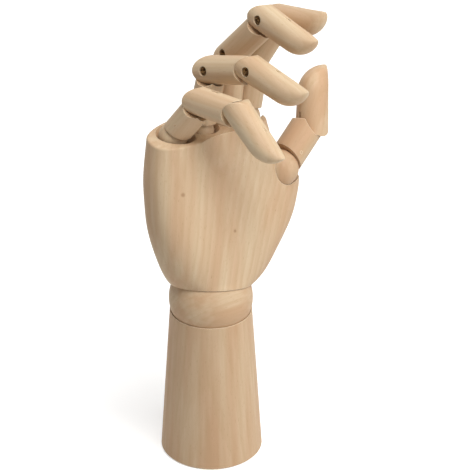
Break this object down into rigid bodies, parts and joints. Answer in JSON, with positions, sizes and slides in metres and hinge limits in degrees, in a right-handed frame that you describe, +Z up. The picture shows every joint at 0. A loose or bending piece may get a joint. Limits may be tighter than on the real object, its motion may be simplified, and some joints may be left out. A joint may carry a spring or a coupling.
{
  "type": "wooden hand mannequin",
  "caption": "Jointed wooden right hand for drawing practice: turned forearm base, ball wrist, carved palm and fingers on sprung ball knuckles with pinned hinges.",
  "frame": {"origin": "centre of the forearm block's underside", "axes": "+Z up the forearm, -Y out of the palm's side, +X towards the thumb's side"},
  "size_m": [0.1404, 0.0982, 0.2863],
  "materials": {
    "turned_wood": "satin",
    "spring_steel": "satin",
    "plate_steel": "satin",
    "pivot_brass": "satin",
    "pin_steel": "satin"
  },
  "bodies": {
    "forearm": {"forearm": "turned_wood", "base_plug": "turned_wood", "forearm_spring_pin": "pin_steel"},
    "wrist_spring": {"wrist_spring": "spring_steel"},
    "wrist_ball": {"wrist_ball": "turned_wood"},
    "palm": {"palm": "turned_wood", "palm_spring_pin": "pin_steel", "finger_spring_rod": "pin_steel", "thumb_spring_anchor": "pin_steel", "little_spring": "spring_steel", "ring_spring": "spring_steel", "middle_spring": "spring_steel", "index_spring": "spring_steel", "thumb_spring": "spring_steel"},
    "little_knuckle_ball": {"little_knuckle_ball": "turned_wood"},
    "little_proximal": {"little_proximal": "turned_wood", "little_spring_pin": "pin_steel", "little_middle_link": "plate_steel"},
    "little_middle": {"little_middle": "turned_wood", "little_middle_pivot": "pivot_brass", "little_tip_link": "plate_steel"},
    "little_fingertip": {"little_fingertip": "turned_wood", "little_tip_pivot": "pivot_brass"},
    "ring_knuckle_ball": {"ring_knuckle_ball": "turned_wood"},
    "ring_proximal": {"ring_proximal": "turned_wood", "ring_spring_pin": "pin_steel", "ring_middle_link": "plate_steel"},
    "ring_middle": {"ring_middle": "turned_wood", "ring_middle_pivot": "pivot_brass", "ring_tip_link": "plate_steel"},
    "ring_fingertip": {"ring_fingertip": "turned_wood", "ring_tip_pivot": "pivot_brass"},
    "middle_knuckle_ball": {"middle_knuckle_ball": "turned_wood"},
    "middle_proximal": {"middle_proximal": "turned_wood", "middle_spring_pin": "pin_steel", "middle_middle_link": "plate_steel"},
    "middle_middle": {"middle_middle": "turned_wood", "middle_middle_pivot": "pivot_brass", "middle_tip_link": "plate_steel"},
    "middle_fingertip": {"middle_fingertip": "turned_wood", "middle_tip_pivot": "pivot_brass"},
    "index_knuckle_ball": {"index_knuckle_ball": "turned_wood"},
    "index_proximal": {"index_proximal": "turned_wood", "index_spring_pin": "pin_steel", "index_middle_link": "plate_steel"},
    "index_middle": {"index_middle": "turned_wood", "index_middle_pivot": "pivot_brass", "index_tip_link": "plate_steel"},
    "index_fingertip": {"index_fingertip": "turned_wood", "index_tip_pivot": "pivot_brass"},
    "thumb_knuckle_ball": {"thumb_knuckle_ball": "turned_wood"},
    "thumb_proximal": {"thumb_proximal": "turned_wood", "thumb_spring_pin": "pin_steel", "thumb_tip_link": "plate_steel"},
    "thumb_fingertip": {"thumb_fingertip": "turned_wood", "thumb_tip_pivot": "pivot_brass"}
  },
  "joints": [
    {"name": "wrist_turn", "type": "hinge", "parent": "forearm", "child": "wrist_spring", "pos_m": [0, 0, 0.107], "axis": [0, 0, 1], "range_deg": [-90, 90]},
    {"name": "wrist_lean", "type": "hinge", "parent": "wrist_spring", "child": "wrist_ball", "pos_m": [0, 0, 0.107], "axis": [0, 1, 0], "range_deg": [-29, 7], "deforming": ["wrist_spring"]},
    {"name": "wrist_bend", "type": "hinge", "parent": "wrist_ball", "child": "palm", "pos_m": [0, 0, 0.107], "axis": [0.9816, 0, -0.1908], "range_deg": [-9.1, 38.9], "deforming": ["wrist_spring"]},
    {"name": "little_knuckle", "type": "hinge", "parent": "palm", "child": "little_knuckle_ball", "pos_m": [-0.00926, 0.0261, 0.20872], "axis": [0.9456, 0.2674, -0.1853], "range_deg": [-23, 9], "deforming": ["little_spring"]},
    {"name": "little_spread", "type": "hinge", "parent": "little_knuckle_ball", "child": "little_proximal", "pos_m": [-0.00926, 0.0261, 0.20872], "axis": [0.123, -0.821, -0.5575], "range_deg": [-1, 8], "deforming": ["little_spring"]},
    {"name": "little_middle_joint", "type": "hinge", "parent": "little_proximal", "child": "little_middle", "pos_m": [0.0008, 0.00925, 0.23575], "axis": [0.9456, 0.2674, -0.1853], "range_deg": [-18, 22]},
    {"name": "little_tip_joint", "type": "hinge", "parent": "little_middle", "child": "little_fingertip", "pos_m": [0.00926, -0.02014, 0.23651], "axis": [0.9456, 0.2674, -0.1853], "range_deg": [-38, 32]},
    {"name": "ring_knuckle", "type": "hinge", "parent": "palm", "child": "ring_knuckle_ball", "pos_m": [0.00986, 0.02649, 0.20648], "axis": [0.9557, 0.2097, -0.2066], "range_deg": [-15, 18.5], "deforming": ["ring_spring"]},
    {"name": "ring_spread", "type": "hinge", "parent": "ring_knuckle_ball", "child": "ring_proximal", "pos_m": [0.00986, 0.02649, 0.20648], "axis": [0.1984, -0.9773, -0.0744], "range_deg": [-0.5, 4], "deforming": ["ring_spring"]},
    {"name": "ring_middle_joint", "type": "hinge", "parent": "ring_proximal", "child": "ring_middle", "pos_m": [0.01863, 0.02527, 0.2458], "axis": [0.9557, 0.2097, -0.2066], "range_deg": [-13, 7]},
    {"name": "ring_tip_joint", "type": "hinge", "parent": "ring_middle", "child": "ring_fingertip", "pos_m": [0.02758, -0.00611, 0.25533], "axis": [0.9557, 0.2097, -0.2066], "range_deg": [-27, 33]},
    {"name": "middle_knuckle", "type": "hinge", "parent": "palm", "child": "middle_knuckle_ball", "pos_m": [0.02916, 0.02738, 0.20618], "axis": [0.9693, 0.1191, -0.2152], "range_deg": [-7.8, 11.7], "deforming": ["middle_spring"]},
    {"name": "middle_spread", "type": "hinge", "parent": "middle_knuckle_ball", "child": "middle_proximal", "pos_m": [0.02916, 0.02738, 0.20618], "axis": [0.1426, -0.985, 0.0969], "range_deg": [-0.3, 1.5], "deforming": ["middle_spring"]},
    {"name": "middle_middle_joint", "type": "hinge", "parent": "middle_proximal", "child": "middle_middle", "pos_m": [0.03796, 0.03285, 0.24884], "axis": [0.9693, 0.1191, -0.2152], "range_deg": [-45.6, 11.4]},
    {"name": "middle_tip_joint", "type": "hinge", "parent": "middle_middle", "child": "middle_fingertip", "pos_m": [0.04718, 0.00936, 0.27738], "axis": [0.9693, 0.1191, -0.2152], "range_deg": [-58.8, 11.2]},
    {"name": "index_knuckle", "type": "hinge", "parent": "palm", "child": "index_knuckle_ball", "pos_m": [0.047, 0.03189, 0.20412], "axis": [0.9695, 0.0729, -0.2339], "range_deg": [-11, 9], "deforming": ["index_spring"]},
    {"name": "index_spread", "type": "hinge", "parent": "index_knuckle_ball", "child": "index_proximal", "pos_m": [0.047, 0.03189, 0.20412], "axis": [-0.0868, 0.995, -0.0497], "range_deg": [-0.3, 6], "deforming": ["index_spring"]},
    {"name": "index_middle_joint", "type": "hinge", "parent": "index_proximal", "child": "index_middle", "pos_m": [0.05556, 0.03445, 0.24044], "axis": [0.9695, 0.0729, -0.2339], "range_deg": [-18.9, 15.1]},
    {"name": "index_tip_joint", "type": "hinge", "parent": "index_middle", "child": "index_fingertip", "pos_m": [0.06376, 0.02023, 0.26998], "axis": [0.9695, 0.0729, -0.2339], "range_deg": [-51.3, 18.7]},
    {"name": "thumb_knuckle", "type": "hinge", "parent": "palm", "child": "thumb_knuckle_ball", "pos_m": [0.05689, 0.00884, 0.17535], "axis": [-0.1174, 0.9402, -0.3197], "range_deg": [-19, 18], "deforming": ["thumb_spring"]},
    {"name": "thumb_spread", "type": "hinge", "parent": "thumb_knuckle_ball", "child": "thumb_proximal", "pos_m": [0.05689, 0.00884, 0.17535], "axis": [0.581, -0.1961, -0.7899], "range_deg": [-3, 8], "deforming": ["thumb_spring"]},
    {"name": "thumb_tip_joint", "type": "hinge", "parent": "thumb_proximal", "child": "thumb_fingertip", "pos_m": [0.0883, 0.0197, 0.19576], "axis": [-0.1174, 0.9402, -0.3197], "range_deg": [-31.2, 38.8]}
  ]
}
